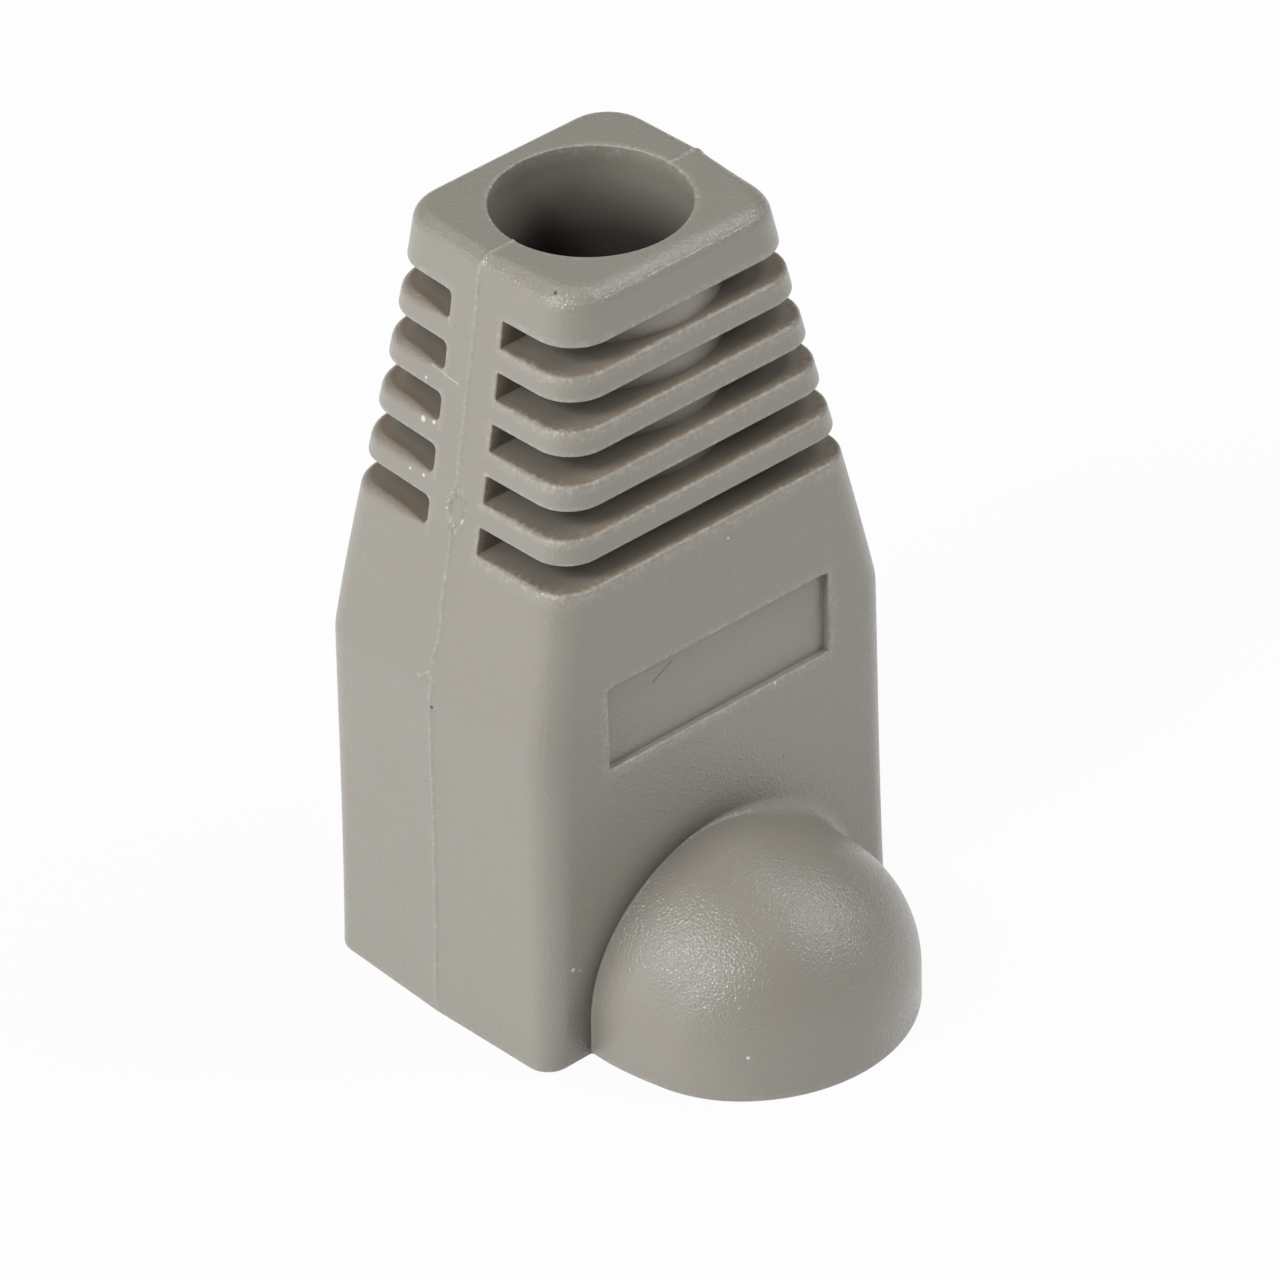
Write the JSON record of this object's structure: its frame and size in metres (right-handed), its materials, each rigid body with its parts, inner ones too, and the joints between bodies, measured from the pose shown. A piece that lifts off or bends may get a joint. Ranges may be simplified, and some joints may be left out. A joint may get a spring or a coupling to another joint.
{
  "type": "rj45 strain relief boot",
  "caption": "Soft moulded sleeve with a slotted, tapering neck for the cable and a rounded hood over the plug's latch.",
  "frame": {"origin": "centre of the mouth's plane, on the cable's axis", "axes": "+Z along the cable, away from the plug; -Y out of the front with the latch hood; X across the width"},
  "size_m": [0.014, 0.0157, 0.0248],
  "materials": {
    "grey_pvc": "matt spark-eroded mould grain"
  },
  "bodies": {
    "root": {"boot": "grey_pvc"}
  },
  "joints": []
}
